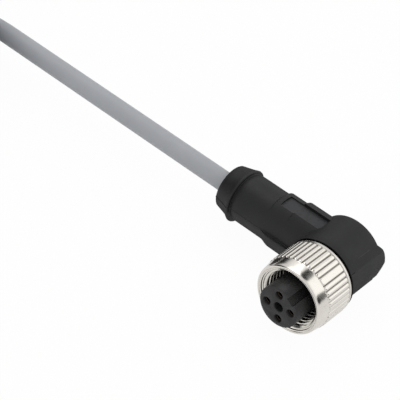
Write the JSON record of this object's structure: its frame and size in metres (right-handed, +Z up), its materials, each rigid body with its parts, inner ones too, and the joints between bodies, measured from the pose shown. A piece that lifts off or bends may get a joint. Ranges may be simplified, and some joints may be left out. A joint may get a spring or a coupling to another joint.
{
  "type": "m12 connector cordset",
  "caption": "Right-angle M12 female moulded cordset with a knurled coupling nut, a keyed contact insert and a cable with bare leads.",
  "frame": {"origin": "centre of the coupling nut's mouth plane, on the mating axis", "axes": "-Y is the mating direction out of the mouth, -X the direction in which the cable leaves, +Z up; the elbow's parting plane is Z = 0"},
  "size_m": [0.1815, 0.0415, 0.0227],
  "materials": {
    "overmould": "satin black moulded polyurethane",
    "nut": "nickel-plated brass",
    "insert": "black moulded insert",
    "contact": "gold-plated sockets",
    "seal": "rubber ring",
    "inner_mould": "pre-moulded block",
    "cable": "grey PVC jacket",
    "tie": "black strap",
    "brown_core": "brown insulation",
    "white_core": "white insulation",
    "blue_core": "blue insulation",
    "black_core": "black insulation",
    "tinned": "tinned copper strand"
  },
  "bodies": {
    "connector": {"overmould_body": "overmould", "contact_carrier": "insert", "contact_1": "contact", "contact_2": "contact", "contact_3": "contact", "contact_4": "contact", "seal_ring": "seal", "inner_mould": "inner_mould", "core_brown": "brown_core", "core_white": "white_core", "core_blue": "blue_core", "core_black": "black_core", "cable_jacket_end": "cable", "cable_run": "cable", "cable_hank": "cable", "hank_tie": "tie", "lead_brown": "brown_core", "lead_white": "white_core", "lead_blue": "blue_core", "lead_black": "black_core", "tip_brown": "tinned", "tip_white": "tinned", "tip_blue": "tinned", "tip_black": "tinned"},
    "nut": {"coupling_nut": "nut"}
  },
  "joints": [
    {"name": "nut_spin", "type": "hinge", "parent": "connector", "child": "nut", "pos_m": [0, 0.0047, 0], "axis": [0, 1, 0], "continuous": true}
  ]
}
